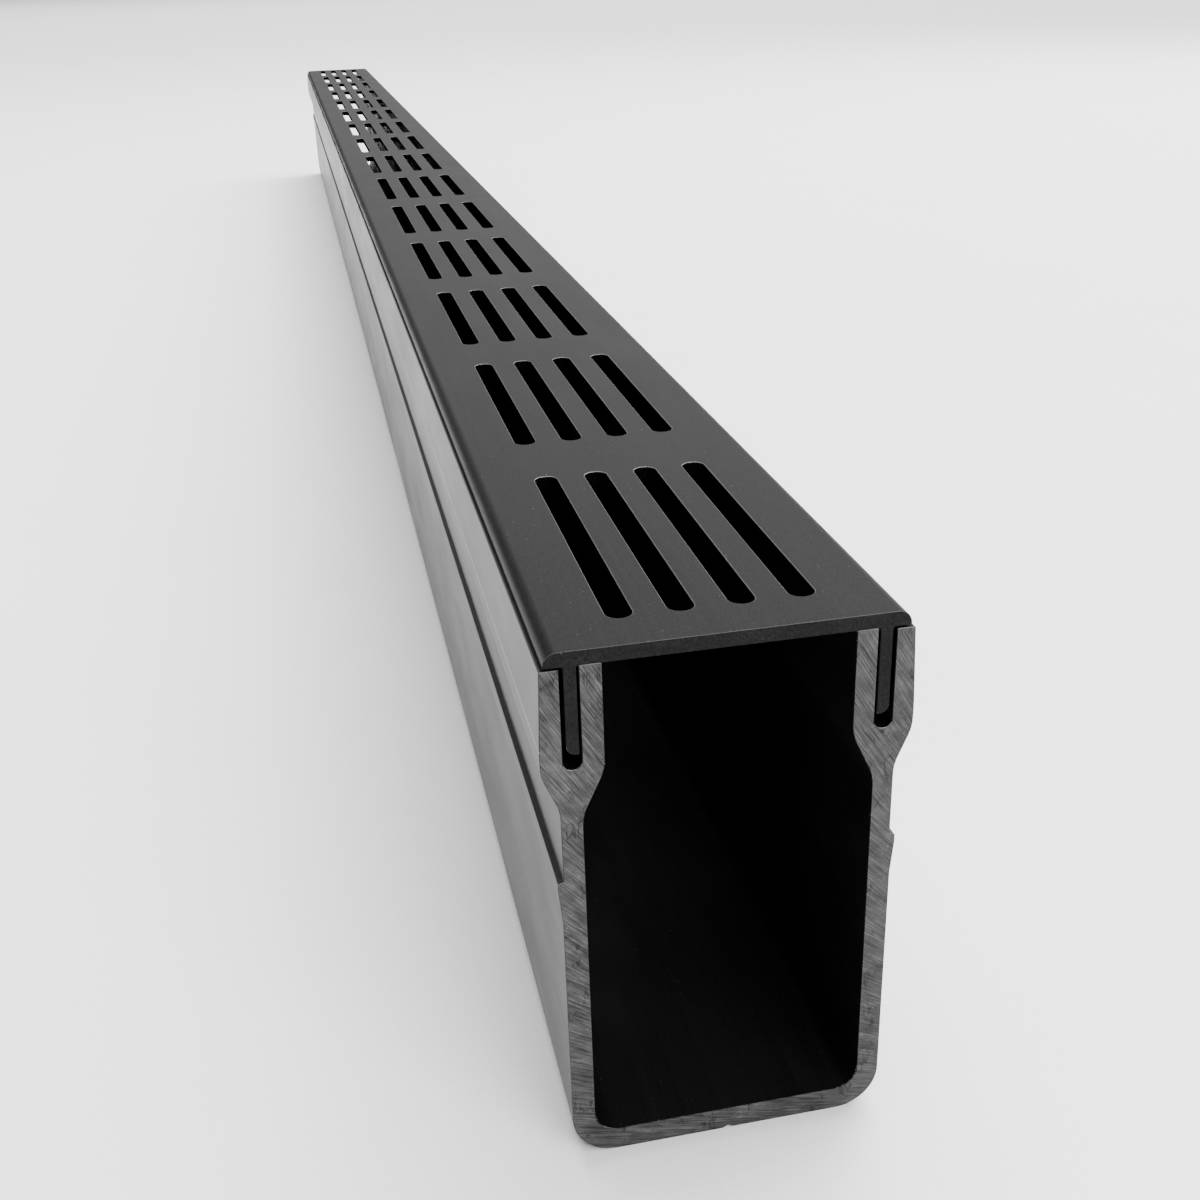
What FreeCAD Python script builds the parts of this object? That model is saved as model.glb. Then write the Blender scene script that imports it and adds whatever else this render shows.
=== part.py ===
"""Slim line drain: an extruded channel profile that carries a slotted, lift-out lid.

Frame: X across the drain, Y along it, +Z up. The origin is under the middle of the
channel, on the plane that the channel stands on. Millimetres.
"""
import enum
import math
import os
import re

import FreeCAD
import Part
import Sketcher

SIZES = {
    "overall_length": 1000.0,
    # channel: walls and floor
    "channel_height": 70.9,
    "head_width": 45.0,
    "wall_inset": 1.8,
    "lower_wall": 2.95,
    "upper_wall": 2.65,
    "floor_thickness": 3.25,
    "floor_outer_radius": 5.8,
    "floor_inner_radius": 3.0,
    "centre_mark_width": 1.4,
    "centre_mark_depth": 0.35,
    # channel: thick heads, narrowing to the walls
    "head_depth": 13.55,
    "head_top_inset": 0.4,
    "head_lean_depth": 10.4,
    "outer_taper": 4.95,
    "inner_taper": 6.05,
    "head_blend_radius": 6.0,
    # channel: prongs on each side of the groove that takes a leg of the lid
    "outer_prong": 2.27,
    "inner_prong": 2.65,
    "outer_prong_drop": 0.3,
    "prong_edge_radius": 0.2,
    "groove_corner_radius": 1.0,
    # channel: nose along each outer wall, below the head
    "nose_drop": 9.7,
    "nose_top_slope": 0.3,
    "nose_tip_face": 1.2,
    "nose_taper": 4.3,
    "nose_overhang": 0.4,
    # lid
    "lid_edge_inset": 0.5,
    "lid_thickness": 1.9,
    "lid_edge_radius": 1.7,
    "leg_thickness": 1.5,
    "leg_depth": 11.2,
    "leg_tip_radius": 0.6,
    "leg_side_clearance": 0.375,
    "leg_tip_clearance": 1.95,
    # lid: slots
    "slot_width": 3.3,
    "slot_length": 51.0,
    "row_pitch": 7.4,
    "row_count": 4,
    "group_pitch": 66.8,
    "least_end_land": 5.0,
}

# As many groups of slots as the length takes with the least land left at each end.
GROUP_COUNT = "(floor((overall_length - 2 * least_end_land - slot_length) / group_pitch) + 1)"

UP = FreeCAD.Vector(0, 0, 1)
EDGE_TOLERANCE = 1e-4
PARTS_FOLDER = "parts"


class Axis(enum.IntEnum):
    """Numbers by which a sketch's constraints name its own axes."""

    ACROSS = -1
    UPRIGHT = -2


class End(enum.IntEnum):
    """Numbers by which a sketch's constraints name the points of a curve."""

    START = 1
    FINISH = 2
    CENTRE = 3


# The sketch's origin is the first point of its axis across.
SKETCH_ORIGIN = (Axis.ACROSS, End.START)


def make_sheet(doc):
    """Spreadsheet with one named cell for each driving size."""
    sheet = doc.addObject("Spreadsheet::Sheet", "sizes")
    for row, (name, value) in enumerate(SIZES.items(), start=1):
        sheet.set(f"A{row}", name)
        sheet.set(f"B{row}", str(value))
        sheet.setAlias(f"B{row}", name)
    doc.recompute()
    return sheet


def value_of(doc, expression):
    """Number that an expression on the sheet gives now."""
    return float(doc.getObject("sizes").evalExpression(expression))


def named(expression):
    """The same expression as another object writes it, with sizes. before each size."""
    return re.sub(r"[a-z_]+", lambda word: f"sizes.{word[0]}" if word[0] in SIZES else word[0],
                  expression)


def origin_plane(body, role):
    """The body's own origin plane with this role."""
    return next(item for item in body.Origin.OriginFeatures if item.Role == role)


def new_body(doc, label):
    """Empty body whose label is the name of the piece."""
    body = doc.addObject("PartDesign::Body", label)
    body.Label = label
    return body


def new_sketch(body, name, plane):
    """Sketch on one of the body's origin planes."""
    sketch = body.newObject("Sketcher::SketchObject", name)
    sketch.AttachmentSupport = [(origin_plane(body, plane), "")]
    sketch.MapMode = "FlatFace"
    return sketch


def drive(sketch, expression, *constraint):
    """Add a dimension to the sketch and tie it to the sheet."""
    index = sketch.addConstraint(Sketcher.Constraint(*constraint))
    sketch.setExpression(f"Constraints[{index}]", named(expression))


def place_point(doc, sketch, geometry, point, corner):
    """Tie a sketch point to the sheet by its distances from the sketch's origin."""
    for axis, expression in zip(("DistanceX", "DistanceY"), corner):
        value = value_of(doc, expression)
        if abs(value) < EDGE_TOLERANCE and axis == "DistanceX":
            on_axis = Sketcher.Constraint("PointOnObject", geometry, point, Axis.UPRIGHT)
            sketch.addConstraint(on_axis)
            continue
        drive(sketch, expression, axis, *SKETCH_ORIGIN, geometry, point, value)


def symmetric_outline(doc, sketch, right_half):
    """Closed outline from the corners of its right half, mirrored about the sketch's Y axis.

    The corners run anticlockwise. A first corner at x = 0 is shared by both halves.
    """
    points = [tuple(value_of(doc, text) for text in corner) for corner in right_half]
    shared = 1 if abs(points[0][0]) < EDGE_TOLERANCE else 0
    mirrored = [(-x, z) for x, z in reversed(points[shared:])]
    loop = [FreeCAD.Vector(x, z, 0) for x, z in points + mirrored]
    count = len(loop)
    for index in range(count):
        sketch.addGeometry(Part.LineSegment(loop[index], loop[(index + 1) % count]), False)
    for index in range(count):
        after = (index + 1) % count
        joint = Sketcher.Constraint("Coincident", index, End.FINISH, after, End.START)
        sketch.addConstraint(joint)
    for index, corner in enumerate(right_half):
        place_point(doc, sketch, index, End.START, corner)
    for index in range(shared, len(points)):
        twin = count - 1 - index + shared
        sketch.addConstraint(Sketcher.Constraint(
            "Symmetric", index, End.START, twin, End.START, Axis.UPRIGHT))


def extrude(doc, body, sketch, name):
    """Pad a cross-section along the drain, half to each side of the origin."""
    pad = body.newObject("PartDesign::Pad", name)
    pad.Profile = sketch
    pad.SideType = "Symmetric"
    pad.setExpression("Length", named("overall_length"))
    doc.recompute()
    return pad


def long_edges(doc, feature, corners):
    """Names of the edges along Y that pass through these corners or their mirror images."""
    targets = [tuple(value_of(doc, text) for text in corner) for corner in corners]
    names = []
    for number, edge in enumerate(feature.Shape.Edges, start=1):
        first, last = edge.Vertexes[0].Point, edge.Vertexes[-1].Point
        if abs(first.x - last.x) > EDGE_TOLERANCE or abs(first.z - last.z) > EDGE_TOLERANCE:
            continue
        for x, z in targets:
            if abs(abs(first.x) - x) < EDGE_TOLERANCE and abs(first.z - z) < EDGE_TOLERANCE:
                names.append(f"Edge{number}")
    return names


def round_edges(doc, body, name, corners, radius):
    """Fillet along the extrusion at these corners of its section."""
    base = body.Tip
    fillet = body.newObject("PartDesign::Fillet", name)
    fillet.Base = (base, long_edges(doc, base, corners))
    fillet.setExpression("Radius", named(radius))
    doc.recompute()
    return fillet


def across(*terms):
    """Distance from the middle of the drain, worked inwards from the head's outer side."""
    return " ".join(("head_width / 2", *terms))


def below_top(*terms):
    """Height above the underside, worked down from the top of the inner prongs."""
    return " ".join(("channel_height", *terms))


WALL_OUTSIDE = across("- wall_inset")
WALL_INSIDE = across("- wall_inset - lower_wall")
UPPER_WALL_OUTSIDE = across("- wall_inset - lower_wall + upper_wall")
NOSE_TIP = across("- wall_inset + nose_overhang")
PRONG_OUTSIDE = across("- head_top_inset")
GROOVE_OUTSIDE = across("- head_top_inset - outer_prong")
LEG_OUTSIDE = GROOVE_OUTSIDE + " - leg_side_clearance"
LEG_INSIDE = LEG_OUTSIDE + " - leg_thickness"
GROOVE_INSIDE = LEG_INSIDE + " - leg_side_clearance"
THROAT_SIDE = GROOVE_INSIDE + " - inner_prong"

OUTER_PRONG_TOP = below_top("- outer_prong_drop")
LEG_TIP = below_top("- leg_depth")
GROOVE_FLOOR = below_top("- leg_depth - leg_tip_clearance")
HEAD_UNDERSIDE = below_top("- head_depth")
OUTER_NECK = HEAD_UNDERSIDE + " - outer_taper"
INNER_NECK = HEAD_UNDERSIDE + " - inner_taper"
NOSE_ROOT = OUTER_NECK + " - nose_drop"
NOSE_TIP_TOP = NOSE_ROOT + " - nose_top_slope"
NOSE_TIP_FOOT = NOSE_TIP_TOP + " - nose_tip_face"
NOSE_FOOT = NOSE_TIP_FOOT + " - nose_taper"
LID_TOP = below_top("+ lid_thickness")


def channel_corners():
    """Named corners of the right half of the channel's section, from the middle outwards."""
    return {
        "mark_apex": ("0", "centre_mark_depth"),
        "mark_edge": ("centre_mark_width / 2", "0"),
        "floor_outer": (WALL_OUTSIDE, "0"),
        "nose_foot": (WALL_OUTSIDE, NOSE_FOOT),
        "nose_tip_foot": (NOSE_TIP, NOSE_TIP_FOOT),
        "nose_tip_top": (NOSE_TIP, NOSE_TIP_TOP),
        "nose_root": (UPPER_WALL_OUTSIDE, NOSE_ROOT),
        "outer_neck": (UPPER_WALL_OUTSIDE, OUTER_NECK),
        "outer_bulge": (across(), HEAD_UNDERSIDE),
        "head_side": (across(), below_top("- head_lean_depth")),
        "outer_prong_outer": (PRONG_OUTSIDE, OUTER_PRONG_TOP),
        "outer_prong_inner": (GROOVE_OUTSIDE, OUTER_PRONG_TOP),
        "groove_floor_outer": (GROOVE_OUTSIDE, GROOVE_FLOOR),
        "groove_floor_inner": (GROOVE_INSIDE, GROOVE_FLOOR),
        "inner_prong_outer": (GROOVE_INSIDE, below_top()),
        "inner_prong_inner": (THROAT_SIDE, below_top()),
        "inner_bulge": (THROAT_SIDE, HEAD_UNDERSIDE),
        "inner_neck": (WALL_INSIDE, INNER_NECK),
        "floor_inner": (WALL_INSIDE, "floor_thickness"),
    }


def make_channel(doc):
    """Channel profile: floor, walls with a nose, and heads with a groove for the lid's legs."""
    body = new_body(doc, "channel_profile")
    corners = channel_corners()
    section = new_sketch(body, "channel_section", "XZ_Plane")
    symmetric_outline(doc, section, list(corners.values()))
    extrude(doc, body, section, "channel_extrusion")
    roundings = {
        "floor_outer_rounding": (["floor_outer"], "floor_outer_radius"),
        "floor_inner_rounding": (["floor_inner"], "floor_inner_radius"),
        "head_blend": (["outer_bulge", "inner_bulge", "outer_neck", "inner_neck"],
                       "head_blend_radius"),
        "groove_rounding": (["groove_floor_outer", "groove_floor_inner"],
                            "groove_corner_radius"),
        "prong_rounding": (["outer_prong_outer", "outer_prong_inner",
                            "inner_prong_outer", "inner_prong_inner"],
                           "prong_edge_radius"),
    }
    for name, (keys, radius) in roundings.items():
        round_edges(doc, body, name, [corners[key] for key in keys], radius)
    return body


def lid_corners():
    """Named corners of the right half of the lid's section, whose plate rests on the prongs."""
    edge = PRONG_OUTSIDE + " - lid_edge_inset"
    return {
        "leg_root_inner": (LEG_INSIDE, below_top()),
        "leg_tip_inner": (LEG_INSIDE, LEG_TIP),
        "leg_tip_outer": (LEG_OUTSIDE, LEG_TIP),
        "leg_root_outer": (LEG_OUTSIDE, below_top()),
        "edge_under": (edge, below_top()),
        "edge_top": (edge, LID_TOP),
    }


def draw_slot(doc, sketch, row, near_end, far_end):
    """One round-ended slot along Y: the end arcs' centres and the width come from the sheet."""
    radius = value_of(doc, "slot_width / 2")
    x = value_of(doc, row)
    near = FreeCAD.Vector(x, value_of(doc, near_end), 0)
    far = FreeCAD.Vector(x, value_of(doc, far_end), 0)
    side = FreeCAD.Vector(radius, 0, 0)
    near_arc = Part.ArcOfCircle(Part.Circle(near, UP, radius), math.pi, 2 * math.pi)
    far_arc = Part.ArcOfCircle(Part.Circle(far, UP, radius), 0, math.pi)
    right = Part.LineSegment(near + side, far + side)
    left = Part.LineSegment(far - side, near - side)
    loop = [near_arc, right, far_arc, left]
    for curve in loop:
        sketch.addGeometry(curve, False)
    for index in range(len(loop)):
        after = (index + 1) % len(loop)
        sketch.addConstraint(
            Sketcher.Constraint("Tangent", index, End.FINISH, after, End.START))
    place_point(doc, sketch, loop.index(near_arc), End.CENTRE, (row, near_end))
    sketch.addConstraint(Sketcher.Constraint("Vertical", loop.index(right)))
    sketch.addConstraint(Sketcher.Constraint("Equal", loop.index(near_arc), loop.index(far_arc)))
    drive(sketch, far_end, "DistanceY", *SKETCH_ORIGIN, loop.index(far_arc), End.CENTRE, far.y)
    drive(sketch, "slot_width / 2", "Radius", loop.index(near_arc), radius)


def cut_slots(doc, body):
    """Pocket the first slot through the lid and repeat it across and along."""
    middle = f"-({GROUP_COUNT} - 1) * group_pitch / 2"
    reach = "(slot_length - slot_width) / 2"
    sketch = new_sketch(body, "slot_outline", "XY_Plane")
    sketch.setExpression("AttachmentOffset.Base.z", named(LID_TOP))
    draw_slot(doc, sketch, "-(row_count - 1) * row_pitch / 2",
              f"{middle} - {reach}", f"{middle} + {reach}")
    doc.recompute()
    pocket = body.newObject("PartDesign::Pocket", "first_slot")
    pocket.Profile = sketch
    pocket.setExpression("Length", named("lid_thickness"))
    doc.recompute()
    pattern = body.newObject("PartDesign::LinearPattern", "slot_grid")
    pattern.Originals = [pocket]
    pattern.Direction = (sketch, ["H_Axis"])
    pattern.setExpression("Length", named("(row_count - 1) * row_pitch"))
    pattern.setExpression("Occurrences", named("row_count"))
    pattern.Direction2 = (sketch, ["V_Axis"])
    pattern.setExpression("Length2", named(f"({GROUP_COUNT} - 1) * group_pitch"))
    pattern.setExpression("Occurrences2", named(GROUP_COUNT))
    body.Tip = pattern
    doc.recompute()


def make_lid(doc):
    """Slotted lid: a plate with rounded long edges and two legs that stand in the grooves."""
    body = new_body(doc, "slotted_lid")
    corners = lid_corners()
    section = new_sketch(body, "lid_section", "XZ_Plane")
    symmetric_outline(doc, section, list(corners.values()))
    extrude(doc, body, section, "lid_extrusion")
    round_edges(doc, body, "lid_edge_rounding", [corners["edge_top"]], "lid_edge_radius")
    round_edges(doc, body, "leg_tip_rounding",
                [corners["leg_tip_inner"], corners["leg_tip_outer"]], "leg_tip_radius")
    cut_slots(doc, body)
    return body


def check_document(doc, bodies):
    """Stop if any object failed or a piece isn't one sound solid."""
    for item in doc.Objects:
        if "Invalid" in item.State or "Error" in item.State:
            raise RuntimeError(f"{item.Name} failed: {item.State}")
    for body in bodies:
        shape = body.Shape
        if shape.isNull() or not shape.isValid() or len(shape.Solids) != 1:
            raise RuntimeError(f"{body.Label} isn't one valid solid")


def main():
    """Build both pieces and write one STEP file for each."""
    doc = FreeCAD.newDocument("line_drain")
    make_sheet(doc)
    bodies = [make_channel(doc), make_lid(doc)]
    doc.recompute()
    check_document(doc, bodies)
    os.makedirs(PARTS_FOLDER, exist_ok=True)
    for body in bodies:
        body.Shape.exportStep(os.path.join(PARTS_FOLDER, f"{body.Label}.step"))
        box = body.Shape.BoundBox
        print(f"{body.Label}: {box.XLength:.2f} x {box.YLength:.2f} x {box.ZLength:.2f} mm, "
              f"{body.Shape.Volume / 1000:.1f} cm3, {len(body.Shape.Faces)} faces")


main()
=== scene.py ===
"""Looks of the slim line drain: black anodised channel and slotted lid, sawn square at both ends.

Metres, in the CAD's frame: X across the drain, Y along it, +Z up. Places come from the boxes
of the CAD nodes. The values in millimetres are the details of the section and its finish.
"""
import math
import random

import bmesh
import bpy
from mathutils import Euler, Matrix, Vector, noise


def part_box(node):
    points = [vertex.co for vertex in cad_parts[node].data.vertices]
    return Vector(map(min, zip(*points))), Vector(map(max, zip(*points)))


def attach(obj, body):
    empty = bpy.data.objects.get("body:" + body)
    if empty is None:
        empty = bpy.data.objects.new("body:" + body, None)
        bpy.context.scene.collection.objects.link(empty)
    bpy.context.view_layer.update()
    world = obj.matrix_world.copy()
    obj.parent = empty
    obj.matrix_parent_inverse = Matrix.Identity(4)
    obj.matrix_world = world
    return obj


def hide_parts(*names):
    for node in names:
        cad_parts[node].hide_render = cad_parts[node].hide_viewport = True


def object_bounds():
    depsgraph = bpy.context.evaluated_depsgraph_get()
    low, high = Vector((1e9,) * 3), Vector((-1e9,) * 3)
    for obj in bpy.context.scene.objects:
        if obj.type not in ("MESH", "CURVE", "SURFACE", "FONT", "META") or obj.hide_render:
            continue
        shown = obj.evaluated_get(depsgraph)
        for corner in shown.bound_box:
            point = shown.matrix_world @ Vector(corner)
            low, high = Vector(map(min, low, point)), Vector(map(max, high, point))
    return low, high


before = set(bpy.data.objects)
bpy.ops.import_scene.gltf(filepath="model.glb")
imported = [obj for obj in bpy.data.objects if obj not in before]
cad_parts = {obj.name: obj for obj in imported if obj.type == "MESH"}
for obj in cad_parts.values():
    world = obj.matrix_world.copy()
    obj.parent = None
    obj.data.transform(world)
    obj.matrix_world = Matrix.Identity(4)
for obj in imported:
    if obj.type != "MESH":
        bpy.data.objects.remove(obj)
CAD_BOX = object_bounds()
CHANNEL_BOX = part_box("channel_profile")
LID_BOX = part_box("slotted_lid")

MM = 0.001

# channel section
WALL_INSET = 1.8 * MM
LOWER_WALL = 2.95 * MM
UPPER_WALL = 2.65 * MM
FLOOR_THICKNESS = 3.25 * MM
FLOOR_OUTER_RADIUS = 5.8 * MM
FLOOR_INNER_RADIUS = 3.0 * MM
MARK_WIDTH = 1.4 * MM
MARK_DEPTH = 0.35 * MM
HEAD_DEPTH = 13.55 * MM
HEAD_TOP_INSET = 0.4 * MM
HEAD_LEAN_DEPTH = 10.4 * MM
OUTER_TAPER = 4.95 * MM
INNER_TAPER = 6.05 * MM
HEAD_BLEND_RADIUS = 6.0 * MM
OUTER_PRONG = 2.27 * MM
INNER_PRONG = 2.65 * MM
OUTER_PRONG_DROP = 0.3 * MM
PRONG_EDGE_RADIUS = 0.2 * MM
GROOVE_CORNER_RADIUS = 1.0 * MM
NOSE_DROP = 9.7 * MM
NOSE_TOP_SLOPE = 0.3 * MM
NOSE_TIP_FACE = 1.2 * MM
NOSE_TAPER = 4.3 * MM
NOSE_OVERHANG = 0.4 * MM
NOSE_EDGE_RADIUS = 0.12 * MM

# lid section
LID_EDGE_RADIUS = 1.7 * MM
LEG_THICKNESS = 1.5 * MM
LEG_SIDE_CLEARANCE = 0.375 * MM
LEG_TIP_CLEARANCE = 1.95 * MM
LEG_LEAN = 0.11 * MM
LEG_OUTER_RADIUS = 1.1 * MM
LEG_INNER_RADIUS = 0.2 * MM
LEG_ROOT_RADIUS = 0.3 * MM

# slots
SLOT_WIDTH = 3.3 * MM
SLOT_LENGTH = 51.0 * MM
ROW_PITCH = 7.4 * MM
ROW_COUNT = 4
GROUP_PITCH = 66.8 * MM
LEAST_END_LAND = 5.0 * MM
SLOT_RIM = 0.1 * MM
SLOT_END_STEPS = 14
RIM_STEPS = 3

# cut ends
EDGE_BREAK = 0.06 * MM
SKIN_EDGE = 0.075 * MM
SKIN_EDGE_VARIATION = 0.09 * MM
SKIN_EDGE_PATCH = 0.9 * MM
CUT_DEPTH = 0.4 * MM
FLOOR_BURRS = 60
OTHER_BURRS = 24
BURR_SIZE = (0.02 * MM, 0.08 * MM)
BURR_STRETCH = (0.6, 1.3)

# painted highlight down the heads' corner, and how far a broken edge's normal points along Y or Z
HIGHLIGHT_STRIP = 0.16 * MM
LEAST_TILT = 0.3
MOST_TILT = 0.9

# material slots of the channel's mesh, and of the lid's
SKIN, SHADED_INSIDE, WEAR_AND_HIGHLIGHT, BARE = range(4)
LID_SKIN, RIM, LID_END, SLOT_WALL = range(4)

ARC_STEP = math.radians(6)
SHARP_ANGLE = math.radians(40)

# camera and stage
CAMERA_PLACE = Vector((-0.042467, -0.638430, 0.141843))
CAMERA_TURN = (math.radians(65.8189), math.radians(1.7547), math.radians(-12.0506))
CAMERA_LENS = 42.874
SENSOR_WIDTH = 36.0
FLOOR_REACH = 30.0
WORLD_GREY = 0.3
GLOW_GREY = 2.6
# where the glow fades in, as the parts of a direction that point up, to the far end and right
GLOW_HEIGHT = (0.1, 0.36)
GLOW_DEPTH = (-0.2, 0.8)
GLOW_SIDE = (-0.3, 0.25)
# name, place, aim, width, height, radiance
SOFTBOXES = [
    ("key", (1.3, 0.45, 1.35), (0, -0.3, 0), 1.5, 1.5, 8.5),
    ("top", (0.1, 0.0, 2.2), (0.1, -0.2, 0), 2.0, 2.0, 5.0),
    ("fill", (-1.4, 0.3, 1.3), (0, -0.3, 0), 1.2, 1.2, 1.0),
    ("front", (0.3, -1.1, 0.5), (0, -0.5, 0), 0.5, 0.5, 11.0),
    ("far", (1.2, 4.5, 7.0), (1.2, 4.5, 0), 6.0, 5.0, 11.0),
]

# marks of the finish: size across, along and up the drain, then detail and roughness of the noise
DRAWN_LINES = ((0.35 * MM, 90 * MM, 0.35 * MM), 3.0, 0.5)
ETCHED_GRAIN = ((0.25 * MM, 0.25 * MM, 0.25 * MM), 2.0, 0.5)
SMUDGES = ((9 * MM, 30 * MM, 9 * MM), 4.0, 0.5)
WEAR_AND_HIGHLIGHT_PATCHES = ((0.3 * MM, 0.8 * MM, 0.3 * MM), 5.0, 0.7)
SMEARS = ((3 * MM, 3 * MM, 2.2 * MM), 4.0, 0.6)
PITS = ((0.16 * MM, 0.16 * MM, 0.16 * MM), 3.0, 0.5)
NICK_COURSE = ((0.9 * MM, 3 * MM, 2.6 * MM), 3.0, 0.5)
NICK_PATCHES = ((2.2 * MM, 3 * MM, 2.6 * MM), 2.0, 0.5)
PAPER_CLOUDS = ((60 * MM, 60 * MM, 60 * MM), 3.0, 0.5)
PAPER_FIBRES = ((0.7 * MM, 0.7 * MM, 0.7 * MM), 3.0, 0.5)
USUAL_NOISE = (0.3, 0.7)
NOISE_MIDDLE = 0.5

# depths of the marks in the surface
GRAIN_DEPTH = 0.0015 * MM
LINE_DEPTH = 0.002 * MM
FAINT_LINE_DEPTH = LINE_DEPTH / 5
PIT_DEPTH = 0.01 * MM
SAW_DEPTH = 0.02 * MM

# anodised surfaces: grey, roughness, index of refraction, unevenness, depth of the drawn lines
ANODISED = {
    "anodised_channel": (0.026, 0.33, 1.18, 0.12, LINE_DEPTH),
    # painted shade: the inside of the channel, the grooves and the prong tops under the lid take
    # this darker, duller copy
    "painted_shade_inside": (0.003, 0.6, 1.12, 0.3, LINE_DEPTH),
    "anodised_lid": (0.009, 0.38, 1.09, 0.1, FAINT_LINE_DEPTH),
    # painted shade: the lid's end face takes a darker, rougher copy of the lid's anodising
    "lid_end_painted_shade": (0.006, 0.45, 1.15, 0.5, LINE_DEPTH),
    # painted shade: the slot walls take a near black copy of the lid's anodising
    "slot_wall_painted_shade": (0.0015, 0.5, 1.05, 0.2, LINE_DEPTH),
}
GRAIN_SHADE = (0.6, 1.4)
DUST_NOISE = (0.76, 0.8)
DUST_GREY = 0.2

# lighter edge finishes, bare metal and painted highlight: darkest and lightest grey
WEAR_AND_HIGHLIGHT_GREYS = {
    # painted highlight on the heads' corner strip and on the cut's broken edges that look up or
    # down; bare metal on the burrs
    "metal_wear_and_highlight": (0.05, 0.3),
    # painted highlight on the slot rims, the lid end's top edge and the legs' tips
    "slot_rim_highlight": (0.03, 0.09),
}
WEAR_AND_HIGHLIGHT_ROUGHNESS = (0.35, 0.22)
WEAR_AND_HIGHLIGHT_METALLIC = 0.5

# saw marks: how their lines run, and where noise values turn into light and shade
SAW_LIFT = 7 * MM
SAW_REACH = 43 * MM
SAW_EVENNESS = 0.8
SAW_LINES = 2500
SAW_LINE_LENGTH = 5 * MM
SAW_LINE_DETAIL = 4.0
SAW_LINE_ROUGHNESS = 0.7
SAW_LINE_NOISE = (0.36, 0.64)
SAW_LINE_SHADE = (0.35, 1.55)
SCRATCH_NOISE = (0.62, 0.72)
SCRATCH_LIGHT = (0.0, 0.8)
SMEAR_SHADE = (0.7, 1.3)
# painted glints: bright spots in the cut metal's colour
GLINT_NOISE = (0.68, 0.72)
GLINT_LIGHT = (1.0, 6.0)
NICK_WIDTH = 0.055
NICK_PATCH_NOISE = (0.56, 0.64)
NICK_SHADE = 0.7
CUT_GREY = 0.046
CUT_SPECULAR = 0.12
CUT_ROUGHNESS = (0.62, 0.42)

# floor
FLOOR_SHADE = (0.85, 0.87)
FIBRE_SHADE = (0.97, 1.03)
FLOOR_ROUGHNESS = 0.9
FLOOR_SPECULAR = 0.2


def section_corners():
    """Right half of the channel's section, from the middle of the underside round to the throat."""
    half = CHANNEL_BOX[1].x
    top = CHANNEL_BOX[1].z
    wall = half - WALL_INSET
    inside = wall - LOWER_WALL
    upper = inside + UPPER_WALL
    groove_outer = half - HEAD_TOP_INSET - OUTER_PRONG
    groove_inner = groove_outer - 2 * LEG_SIDE_CLEARANCE - LEG_THICKNESS
    throat = groove_inner - INNER_PRONG
    bulge = top - HEAD_DEPTH
    lean = top - HEAD_LEAN_DEPTH
    lean_inset = HEAD_TOP_INSET / HEAD_LEAN_DEPTH * HIGHLIGHT_STRIP / 2
    neck = bulge - OUTER_TAPER
    root = neck - NOSE_DROP
    tip_top = root - NOSE_TOP_SLOPE
    tip_foot = tip_top - NOSE_TIP_FACE
    groove_floor = LID_BOX[0].z - LEG_TIP_CLEARANCE
    return [
        (0, MARK_DEPTH, 0),
        (MARK_WIDTH / 2, 0, 0),
        (wall, 0, FLOOR_OUTER_RADIUS),
        (wall, tip_foot - NOSE_TAPER, 0),
        (wall + NOSE_OVERHANG, tip_foot, NOSE_EDGE_RADIUS),
        (wall + NOSE_OVERHANG, tip_top, NOSE_EDGE_RADIUS),
        (upper, root, 0),
        (upper, neck, HEAD_BLEND_RADIUS),
        (half, bulge, HEAD_BLEND_RADIUS),
        (half, lean - HIGHLIGHT_STRIP / 2, 0),
        (half - lean_inset, lean + HIGHLIGHT_STRIP / 2, 0),
        (half - HEAD_TOP_INSET, top - OUTER_PRONG_DROP, PRONG_EDGE_RADIUS),
        (groove_outer, top - OUTER_PRONG_DROP, PRONG_EDGE_RADIUS),
        (groove_outer, groove_floor, GROOVE_CORNER_RADIUS),
        (groove_inner, groove_floor, GROOVE_CORNER_RADIUS),
        (groove_inner, top, PRONG_EDGE_RADIUS),
        (throat, top, PRONG_EDGE_RADIUS),
        (throat, bulge, HEAD_BLEND_RADIUS),
        (inside, bulge - INNER_TAPER, HEAD_BLEND_RADIUS),
        (inside, FLOOR_THICKNESS, FLOOR_INNER_RADIUS),
    ]


def mirrored(half):
    """The whole loop from its right half."""
    left = [(-x, z, radius) for x, z, radius in reversed(half) if x > 0]
    return half + left


def rounded(corners):
    """Points of a closed outline whose corners are rounded by true arcs."""
    points = []
    for index, (x, z, radius) in enumerate(corners):
        corner = Vector((x, z))
        before = Vector(corners[index - 1][:2])
        after = Vector(corners[(index + 1) % len(corners)][:2])
        points.extend(corner_arc(before, corner, after, radius))
    return points


def corner_arc(before, corner, after, radius):
    """Points of the arc that rounds one corner, or the corner itself where it is sharp."""
    if radius == 0:
        return [corner]
    arriving = (before - corner).normalized()
    leaving = (after - corner).normalized()
    half_angle = arriving.angle(leaving) / 2
    centre = corner + (arriving + leaving).normalized() * radius / math.sin(half_angle)
    start = corner + arriving * radius / math.tan(half_angle) - centre
    finish = corner + leaving * radius / math.tan(half_angle) - centre
    sweep = math.pi - 2 * half_angle
    turn = math.copysign(sweep, start.cross(finish))
    steps = max(2, math.ceil(sweep / ARC_STEP))
    return [centre + Matrix.Rotation(turn * k / steps, 2) @ start for k in range(steps + 1)]


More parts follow.
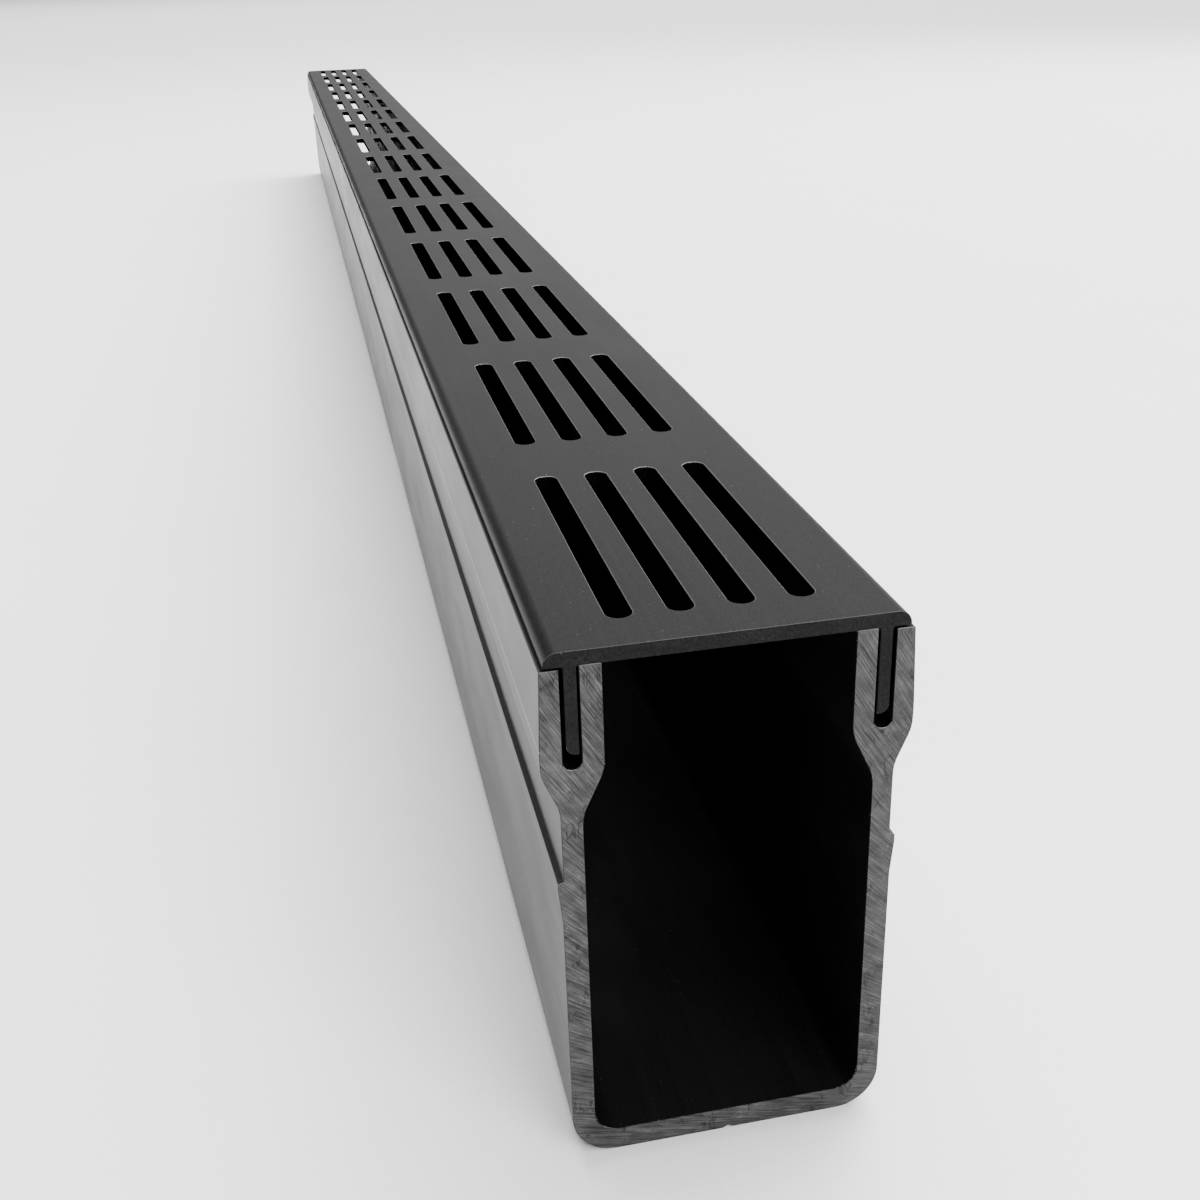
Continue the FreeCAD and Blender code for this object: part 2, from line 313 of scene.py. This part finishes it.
def inset(points, depth_at):
    """The outline moved inwards at each point by depth_at(point)."""
    moved = []
    for index, point in enumerate(points):
        arriving = (point - points[index - 1]).normalized()
        leaving = (points[(index + 1) % len(points)] - point).normalized()
        first = Vector((-arriving.y, arriving.x))
        second = Vector((-leaving.y, leaving.x))
        moved.append(point + (first + second) / (1 + first.dot(second)) * depth_at(point))
    return moved


def ragged_edge(point):
    """Width of the dark skin's edge at a point of the cut face, a little uneven."""
    place = Vector((point.x, 0, point.y)) / SKIN_EDGE_PATCH
    return SKIN_EDGE + SKIN_EDGE_VARIATION * noise.noise(place)


def loop_at(bm, outline, y):
    """Vertices of an outline's points at one place along the drain."""
    return [bm.verts.new((point.x, y, point.y)) for point in outline]


def band(bm, first, second, material=0):
    """Faces between two loops of the same length, all of one of the piece's materials."""
    for index in range(len(first)):
        after = (index + 1) % len(first)
        face = bm.faces.new((first[index], first[after], second[after], second[index]))
        face.material_index = material


def add_piece(name, bm, materials, node=None):
    """Finish a mesh as a piece that rides on the one body and may stand for a CAD node."""
    bmesh.ops.recalc_face_normals(bm, faces=bm.faces)
    mesh = bpy.data.meshes.new(name)
    for face in bm.faces:
        face.smooth = True
    bm.to_mesh(mesh)
    bm.free()
    mesh.set_sharp_from_angle(angle=SHARP_ANGLE)
    for material in materials:
        mesh.materials.append(material)
    piece = bpy.data.objects.new(name, mesh)
    bpy.context.scene.collection.objects.link(piece)
    weighted = piece.modifiers.new("even_normals", "WEIGHTED_NORMAL")
    weighted.keep_sharp = True
    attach(piece, "root")
    if node:
        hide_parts(node)


def is_inside(place):
    """Whether a place on the section is in the channel, in a groove or under the lid."""
    groove_outer = CHANNEL_BOX[1].x - HEAD_TOP_INSET - OUTER_PRONG
    on_prong = place.z > CHANNEL_BOX[1].z - OUTER_PRONG_DROP - EDGE_BREAK
    reach = LID_BOX[1].x if on_prong else groove_outer + EDGE_BREAK
    return abs(place.x) <= reach and place.z > FLOOR_THICKNESS / 2


def finish_of(face):
    """Which material a face of the channel takes.

    The corner down each head takes a painted highlight, in the lighter edge finish. So do the
    broken edges that look up or down, but those of the floor, from half its thickness up, are
    bare. Faces in the channel, in a groove or under the lid take the darker inside finish,
    painted shade.
    """
    middle = face.calc_center_median()
    corner_height = CHANNEL_BOX[1].z - HEAD_LEAN_DEPTH
    at_corner_height = abs(middle.z - corner_height) < HIGHLIGHT_STRIP / 4
    on_highlight_strip = at_corner_height and abs(middle.x) > CHANNEL_BOX[1].x - HIGHLIGHT_STRIP
    broken_edge = LEAST_TILT < abs(face.normal.y) < MOST_TILT
    above_foot = middle.z > FLOOR_THICKNESS / 2
    level_edge = broken_edge and above_foot and abs(face.normal.z) > LEAST_TILT
    # the heads' corner strip and the broken edges above the floor take a painted highlight
    if on_highlight_strip or (level_edge and middle.z > 2 * FLOOR_THICKNESS):
        return WEAR_AND_HIGHLIGHT
    if level_edge:
        return BARE
    # faces in the channel, in a groove or under the lid take the darker inside finish, painted
    # shade
    return SHADED_INSIDE if is_inside(middle) else SKIN


def make_channel(skin, inside, wear_and_highlight_finish, bare):
    """The channel's dark skin, its bare cut faces and the burrs along them."""
    outline = rounded(mirrored(section_corners()))
    broken = inset(outline, lambda point: EDGE_BREAK)
    cut = inset(outline, ragged_edge)
    near, far = CHANNEL_BOX[0].y, CHANNEL_BOX[1].y
    stations = [
        (cut, near + CUT_DEPTH),
        (cut, near),
        (broken, near),
        (outline, near + EDGE_BREAK),
        (outline, far - EDGE_BREAK),
        (broken, far),
        (cut, far),
        (cut, far - CUT_DEPTH),
    ]
    bm = bmesh.new()
    loops = [loop_at(bm, shape, y) for shape, y in stations]
    for first, second in zip(loops, loops[1:]):
        band(bm, first, second)
    bm.faces.new(loops[0])
    bm.faces.new(loops[-1])
    bm.normal_update()
    for face in bm.faces:
        face.material_index = finish_of(face)
    add_piece("channel", bm, [skin, inside, wear_and_highlight_finish, bare], "channel_profile")
    add_cut_face("near_cut", cut, near, near + CUT_DEPTH, bare)
    add_cut_face("far_cut", cut, far - CUT_DEPTH, far, bare)
    add_burrs("near_burrs", outline, near, 1, wear_and_highlight_finish)
    add_burrs("far_burrs", outline, far, -1, wear_and_highlight_finish)


def add_cut_face(name, outline, start, finish, bare):
    """A slice of bare metal let into one end of the skin."""
    bm = bmesh.new()
    ends = loop_at(bm, outline, start), loop_at(bm, outline, finish)
    band(bm, *ends)
    for end in ends:
        bm.faces.new(end)
    add_piece(name, bm, [bare])


def add_crumb(bm, place, size, chance):
    """One irregular scrap of metal."""
    made = bmesh.ops.create_icosphere(bm, subdivisions=1, radius=size)
    stretch = Vector([chance.uniform(*BURR_STRETCH) for _ in range(3)])
    turn = Euler([chance.uniform(0, math.tau) for _ in range(3)]).to_matrix()
    for vertex in made["verts"]:
        uneven = chance.uniform(*BURR_STRETCH)
        vertex.co = place + turn @ (vertex.co * stretch) * uneven


def add_burrs(name, outline, y, inward, metal):
    """Scraps of metal that the saw left along the inner edges of one cut face."""
    chance = random.Random(name)
    inner_edges = [p for p in outline if is_inside(Vector((p.x, y, p.y)))]
    floor_edge = [p for p in inner_edges if abs(p.y - FLOOR_THICKNESS) < FLOOR_INNER_RADIUS]
    bm = bmesh.new()
    for edge, count in ((floor_edge, FLOOR_BURRS), (inner_edges, OTHER_BURRS)):
        for _ in range(count):
            index = chance.randrange(len(edge) - 1)
            point = edge[index].lerp(edge[index + 1], chance.random())
            size = chance.uniform(*BURR_SIZE)
            depth = size * max(BURR_STRETCH) ** 2
            place = Vector((point.x, y + inward * depth, point.y))
            add_crumb(bm, place, size, chance)
    add_piece(name, bm, [metal])


def row_lines():
    """Where the rows of slots meet and have their middles, from the lid's middle outwards."""
    return [ROW_PITCH / 2 * k for k in range(ROW_COUNT + 1)]


def group_middles():
    """Where the groups of slots have their middles along the lid."""
    room = LID_BOX[1].y - LID_BOX[0].y - 2 * LEAST_END_LAND - SLOT_LENGTH
    count = math.floor(room / GROUP_PITCH) + 1
    return [(k - (count - 1) / 2) * GROUP_PITCH for k in range(count)]


def lid_corners():
    """Right half of the lid's section, from the middle of its underside round to its top."""
    half = LID_BOX[1].x
    top = LID_BOX[1].z
    under = CHANNEL_BOX[1].z
    leg_outer = CHANNEL_BOX[1].x - HEAD_TOP_INSET - OUTER_PRONG - LEG_SIDE_CLEARANCE - LEG_LEAN
    leg_inner = leg_outer - LEG_THICKNESS
    tip = LID_BOX[0].z
    underside = [(x, under, 0) for x in row_lines()]
    sides = [
        (leg_inner, under, LEG_ROOT_RADIUS),
        (leg_inner, tip, LEG_INNER_RADIUS),
        (leg_outer, tip, LEG_OUTER_RADIUS),
        (leg_outer, under, LEG_ROOT_RADIUS),
        (half, under, 0),
        (half, top, LID_EDGE_RADIUS),
    ]
    return underside + sides + [(x, top, 0) for x in reversed(row_lines())]


def slot_loop(bm, x, y, spread, z):
    """Vertices round a slot's outline, widened by spread.

    They run anticlockwise from the right side of the slot's far end.
    """
    reach = (SLOT_LENGTH - SLOT_WIDTH) / 2
    radius = SLOT_WIDTH / 2 + spread
    loop = []
    for end, first in ((reach, 0), (-reach, math.pi)):
        for step in range(SLOT_END_STEPS + 1):
            angle = first + math.pi * step / SLOT_END_STEPS
            place = (x + radius * math.cos(angle), y + end + radius * math.sin(angle), z)
            loop.append(bm.verts.new(place))
    return loop


def vertex_at(loop, x, z):
    """The vertex of a section's loop that lies nearest to a place across."""
    return min(loop, key=lambda vertex: math.hypot(vertex.co.x - x, vertex.co.z - z))


def face_round_slot(bm, near_loop, far_loop, hole, x, z):
    """Two flat faces round one slot, each between the row's middle and one of its sides."""
    middle = SLOT_END_STEPS // 2
    half_way = SLOT_END_STEPS + 1 + middle
    left_side = hole[middle:half_way + 1]
    right_side = hole[half_way:] + hole[:middle + 1]
    near_middle = vertex_at(near_loop, x, z)
    far_middle = vertex_at(far_loop, x, z)
    for side, rim in ((-1, left_side), (1, right_side[::-1])):
        near_edge = vertex_at(near_loop, x + side * ROW_PITCH / 2, z)
        far_edge = vertex_at(far_loop, x + side * ROW_PITCH / 2, z)
        bm.faces.new([near_edge, near_middle, *rim[::-1], far_middle, far_edge])


def cut_slot(bm, near_loop, far_loop, x, y):
    """One slot through the lid, its top edge a little rounded."""
    top = LID_BOX[1].z
    under = CHANNEL_BOX[1].z
    rim = []
    for step in range(RIM_STEPS + 1):
        angle = math.pi / 2 * step / RIM_STEPS
        spread = SLOT_RIM * (1 - math.sin(angle))
        depth = SLOT_RIM * (1 - math.cos(angle))
        rim.append(slot_loop(bm, x, y, spread, top - depth))
    foot = slot_loop(bm, x, y, 0, under)
    # the slot's rounded top edge takes the rim finish, a painted highlight
    for upper, lower in zip(rim, rim[1:]):
        band(bm, upper, lower, RIM)
    # the slot's wall takes a near black finish, painted shade
    band(bm, rim[-1], foot, SLOT_WALL)
    face_round_slot(bm, near_loop, far_loop, rim[0], x, top)
    face_round_slot(bm, near_loop, far_loop, foot, x, under)


def in_slot_rows(first, second):
    """Whether a strip between two outline points is crossed by slots."""
    edge = ROW_PITCH * ROW_COUNT / 2 + SLOT_RIM
    level = abs(first.y - second.y) < SLOT_RIM / 2
    return level and abs(first.x) < edge and abs(second.x) < edge


def add_stretch(bm, outline, near_loop, far_loop, y):
    """One stretch of the lid, with the group of slots that has its middle at y."""
    for index, point in enumerate(outline):
        after = (index + 1) % len(outline)
        if not in_slot_rows(point, outline[after]):
            strip = (near_loop[index], near_loop[after], far_loop[after], far_loop[index])
            bm.faces.new(strip)
    for row in range(ROW_COUNT):
        x = (row - (ROW_COUNT - 1) / 2) * ROW_PITCH
        cut_slot(bm, near_loop, far_loop, x, y)


def takes_rim_highlight(face):
    """Whether a lid end's broken edge runs along its top or round a leg's tip: painted highlight.
    """
    height = face.calc_center_median().z
    on_top = height > LID_BOX[1].z - LID_EDGE_RADIUS / 2
    on_tip = height < LID_BOX[0].z + LEG_OUTER_RADIUS
    return on_top or on_tip


def make_lid(skin, rim, lid_end_painted_shade, slot_wall_painted_shade):
    """The slotted lid, in one stretch for each group of slots."""
    near, far = LID_BOX[0].y, LID_BOX[1].y
    middles = group_middles()
    lines = [near + EDGE_BREAK, *(y + GROUP_PITCH / 2 for y in middles[:-1]), far - EDGE_BREAK]
    outline = rounded(mirrored(lid_corners()))
    broken = inset(outline, lambda point: EDGE_BREAK)
    bm = bmesh.new()
    ends = loop_at(bm, broken, near), loop_at(bm, broken, far)
    loops = [loop_at(bm, outline, y) for y in lines]
    band(bm, ends[0], loops[0])
    band(bm, ends[1], loops[-1])
    # the broken edges along the end's top and round the legs' tips take a painted highlight
    for face in bm.faces:
        face.material_index = RIM if takes_rim_highlight(face) else LID_SKIN
    # the end faces take the darker end finish, painted shade
    for end in ends:
        bm.faces.new(end).material_index = LID_END
    for near_loop, far_loop, y in zip(loops, loops[1:], middles):
        add_stretch(bm, outline, near_loop, far_loop, y)
    add_piece("lid", bm, [skin, rim, lid_end_painted_shade, slot_wall_painted_shade], "slotted_lid")


def add_floor(material):
    """A wide plain floor under the drain."""
    bm = bmesh.new()
    reach = FLOOR_REACH
    corners = [(-reach, -reach), (reach, -reach), (reach, reach), (-reach, reach)]
    bm.faces.new([bm.verts.new((x, y, CAD_BOX[0].z)) for x, y in corners])
    mesh = bpy.data.meshes.new("floor")
    bm.to_mesh(mesh)
    bm.free()
    mesh.materials.append(material)
    floor = bpy.data.objects.new("floor", mesh)
    bpy.context.scene.collection.objects.link(floor)


def add_camera():
    """The camera, near the cut end and a little above the lid."""
    camera = bpy.data.cameras.new("camera")
    camera.lens = CAMERA_LENS
    camera.sensor_width = SENSOR_WIDTH
    camera.clip_start = MM
    camera.clip_end = 2 * FLOOR_REACH
    holder = bpy.data.objects.new("camera", camera)
    holder.location = CAMERA_PLACE
    holder.rotation_euler = CAMERA_TURN
    bpy.context.scene.collection.objects.link(holder)
    bpy.context.scene.camera = holder


def add_node(tree, kind, inputs, **settings):
    """A shader node whose inputs, by name or number, take a value or another node's output."""
    made = tree.nodes.new(kind)
    for name, value in settings.items():
        setattr(made, name, value)
    for key, value in inputs.items():
        if isinstance(value, bpy.types.NodeSocket):
            tree.links.new(value, made.inputs[key])
        else:
            made.inputs[key].default_value = value
    return made


def calculate(tree, operation, first, second=0.0):
    """Output of one Math node."""
    node = add_node(tree, "ShaderNodeMath", {0: first, 1: second}, operation=operation)
    return node.outputs[0]


def product(tree, first, *others):
    """Several values multiplied together."""
    for other in others:
        first = calculate(tree, "MULTIPLY", first, other)
    return first


def map_range(tree, value, old, new, interpolation="LINEAR"):
    """A value brought from one range to another and kept within it."""
    inputs = {"Value": value, "From Min": old[0], "From Max": old[1],
              "To Min": new[0], "To Max": new[1]}
    node = add_node(tree, "ShaderNodeMapRange", inputs, interpolation_type=interpolation)
    return node.outputs["Result"]


def noise_in(tree, vector, detail, roughness):
    """Value of a noise texture over already scaled coordinates."""
    inputs = {"Vector": vector, "Scale": 1.0, "Detail": detail, "Roughness": roughness}
    return add_node(tree, "ShaderNodeTexNoise", inputs).outputs[0]


def marks(tree, place, size, detail, roughness):
    """Value of a noise texture whose marks have the given size."""
    inputs = {0: place, 1: tuple(1 / length for length in size)}
    scaled = add_node(tree, "ShaderNodeVectorMath", inputs, operation="MULTIPLY").outputs[0]
    return noise_in(tree, scaled, detail, roughness)


def grey_of(tree, value):
    """A neutral colour of a calculated brightness."""
    inputs = {0: value, 1: value, 2: value}
    return add_node(tree, "ShaderNodeCombineColor", inputs).outputs[0]


def bump(tree, height, distance, normal=None):
    """Normal of a surface that a texture raises by up to a distance, on top of another normal."""
    inputs = {"Height": height, "Distance": distance, "Strength": 1.0}
    if normal:
        inputs["Normal"] = normal
    return add_node(tree, "ShaderNodeBump", inputs).outputs[0]


def new_material(name):
    """An empty material, its shader and the object's own coordinates."""
    material = bpy.data.materials.new(name)
    material.use_nodes = True
    tree = material.node_tree
    place = tree.nodes.new("ShaderNodeTexCoord").outputs["Object"]
    return material, tree, tree.nodes["Principled BSDF"], place


def anodised(name):
    """Black anodised extrusion: drawn lines along Y, an etched grain, faint smudges and dust."""
    # the inside, slot wall and lid end greys are darker copies of the anodising, painted shade
    grey, roughness, index, unevenness, line_depth = ANODISED[name]
    material, tree, shader, place = new_material(name)
    lines = marks(tree, place, *DRAWN_LINES)
    grain = marks(tree, place, *ETCHED_GRAIN)
    smudges = marks(tree, place, *SMUDGES)
    uneven = (1 - unevenness, 1 + unevenness)
    smudged = map_range(tree, smudges, USUAL_NOISE, uneven)
    drawn = map_range(tree, lines, USUAL_NOISE, uneven)
    speckled = map_range(tree, grain, USUAL_NOISE, GRAIN_SHADE)
    dusty = map_range(tree, grain, DUST_NOISE, (grey, DUST_GREY))
    shade = product(tree, drawn, smudged, speckled, dusty)
    tree.links.new(grey_of(tree, shade), shader.inputs["Base Color"])
    tree.links.new(product(tree, smudged, roughness), shader.inputs["Roughness"])
    etched = bump(tree, grain, GRAIN_DEPTH)
    tree.links.new(bump(tree, lines, line_depth, etched), shader.inputs["Normal"])
    shader.inputs["IOR"].default_value = index
    return material


def wear_and_highlight(name):
    """Lighter edge finish in patches of the metal: bare metal, and painted edge highlights."""
    material, tree, shader, place = new_material(name)
    patches = marks(tree, place, *WEAR_AND_HIGHLIGHT_PATCHES)
    shade = map_range(tree, patches, USUAL_NOISE, WEAR_AND_HIGHLIGHT_GREYS[name])
    gloss = map_range(tree, patches, USUAL_NOISE, WEAR_AND_HIGHLIGHT_ROUGHNESS)
    tree.links.new(grey_of(tree, shade), shader.inputs["Base Color"])
    tree.links.new(gloss, shader.inputs["Roughness"])
    tree.links.new(bump(tree, patches, LINE_DEPTH), shader.inputs["Normal"])
    shader.inputs["Metallic"].default_value = WEAR_AND_HIGHLIGHT_METALLIC
    return material


def saw_lines(tree, place):
    """Coordinates whose first value changes across the saw's lines and hardly along them.

    The lines lie nearly level at the floor and turn steeper towards the heads.
    """
    parts = add_node(tree, "ShaderNodeSeparateXYZ", {0: place}).outputs
    height = calculate(tree, "MAXIMUM", calculate(tree, "ADD", parts["Z"], SAW_LIFT), 0)
    shift = calculate(tree, "EXPONENT", calculate(tree, "DIVIDE", parts["X"], SAW_REACH))
    level = calculate(tree, "POWER", product(tree, height, shift), SAW_EVENNESS)
    inputs = {0: product(tree, level, SAW_LINES),
              1: calculate(tree, "DIVIDE", parts["X"], SAW_LINE_LENGTH),
              2: calculate(tree, "DIVIDE", parts["Z"], SAW_LINE_LENGTH)}
    return add_node(tree, "ShaderNodeCombineXYZ", inputs).outputs[0]


def sawn(name):
    """Bare metal as the saw left it: lines of the teeth, smears, painted glints, dark nicks."""
    material, tree, shader, place = new_material(name)
    lines = noise_in(tree, saw_lines(tree, place), SAW_LINE_DETAIL, SAW_LINE_ROUGHNESS)
    smears = marks(tree, place, *SMEARS)
    pits = marks(tree, place, *PITS)
    scratches = map_range(tree, lines, SCRATCH_NOISE, SCRATCH_LIGHT)
    toothed = map_range(tree, lines, SAW_LINE_NOISE, SAW_LINE_SHADE)
    tone = product(tree, toothed, map_range(tree, smears, USUAL_NOISE, SMEAR_SHADE))
    bright = calculate(tree, "ADD", tone, scratches)
    # painted glints: the cut's colour brightened at scattered spots
    glints = map_range(tree, pits, GLINT_NOISE, GLINT_LIGHT)
    shade = product(tree, bright, glints, nicks(tree, place), CUT_GREY)
    gloss = map_range(tree, lines, USUAL_NOISE, CUT_ROUGHNESS)
    tree.links.new(grey_of(tree, shade), shader.inputs["Base Color"])
    tree.links.new(gloss, shader.inputs["Roughness"])
    pitted = bump(tree, pits, PIT_DEPTH)
    tree.links.new(bump(tree, lines, SAW_DEPTH, pitted), shader.inputs["Normal"])
    shader.inputs["Specular IOR Level"].default_value = CUT_SPECULAR
    return material


def nicks(tree, place):
    """1 on plain metal, less along short winding cracks that run up and down the face."""
    course = marks(tree, place, *NICK_COURSE)
    off_course = calculate(tree, "ABSOLUTE", calculate(tree, "SUBTRACT", course, NOISE_MIDDLE))
    crack = map_range(tree, off_course, (0.0, NICK_WIDTH), (1.0, 0.0))
    patches = marks(tree, place, *NICK_PATCHES)
    shown = map_range(tree, patches, NICK_PATCH_NOISE, (0.0, NICK_SHADE))
    return calculate(tree, "SUBTRACT", 1.0, product(tree, crack, shown))


def paper(name):
    """Plain pale floor."""
    material, tree, shader, place = new_material(name)
    clouds = map_range(tree, marks(tree, place, *PAPER_CLOUDS), USUAL_NOISE, FLOOR_SHADE)
    fibres = map_range(tree, marks(tree, place, *PAPER_FIBRES), USUAL_NOISE, FIBRE_SHADE)
    shade = product(tree, clouds, fibres)
    tree.links.new(grey_of(tree, shade), shader.inputs["Base Color"])
    shader.inputs["Roughness"].default_value = FLOOR_ROUGHNESS
    shader.inputs["Specular IOR Level"].default_value = FLOOR_SPECULAR
    return material


def add_softbox(name, place, aim, width, height, radiance):
    """A soft rectangular light."""
    light = bpy.data.lights.new(name, "AREA")
    light.shape = "RECTANGLE"
    light.size = width
    light.size_y = height
    light.energy = radiance * math.pi * width * height
    holder = bpy.data.objects.new(name, light)
    holder.location = place
    holder.rotation_euler = (Vector(aim) - Vector(place)).to_track_quat("-Z", "Y").to_euler()
    bpy.context.scene.collection.objects.link(holder)


def add_world():
    """Even light from all round, and a soft glow high up beyond the far end and to the right."""
    world = bpy.data.worlds.new("studio")
    world.use_nodes = True
    tree = world.node_tree
    direction = tree.nodes.new("ShaderNodeTexCoord").outputs["Generated"]
    parts = add_node(tree, "ShaderNodeSeparateXYZ", {0: direction}).outputs
    high = map_range(tree, parts["Z"], GLOW_HEIGHT, (0.0, 1.0), "SMOOTHSTEP")
    beyond = map_range(tree, parts["Y"], GLOW_DEPTH, (0.0, GLOW_GREY), "SMOOTHSTEP")
    to_right = map_range(tree, parts["X"], GLOW_SIDE, (0.0, 1.0), "SMOOTHSTEP")
    grey = calculate(tree, "ADD", product(tree, high, beyond, to_right), WORLD_GREY)
    tree.links.new(grey_of(tree, grey), tree.nodes["Background"].inputs["Color"])
    bpy.context.scene.world = world


make_channel(anodised("anodised_channel"), anodised("painted_shade_inside"), wear_and_highlight("metal_wear_and_highlight"),
             sawn("cut_metal"))
make_lid(anodised("anodised_lid"), wear_and_highlight("slot_rim_highlight"), anodised("lid_end_painted_shade"), anodised("slot_wall_painted_shade"))
add_floor(paper("floor"))
add_camera()
add_world()
for softbox in SOFTBOXES:
    add_softbox(*softbox)
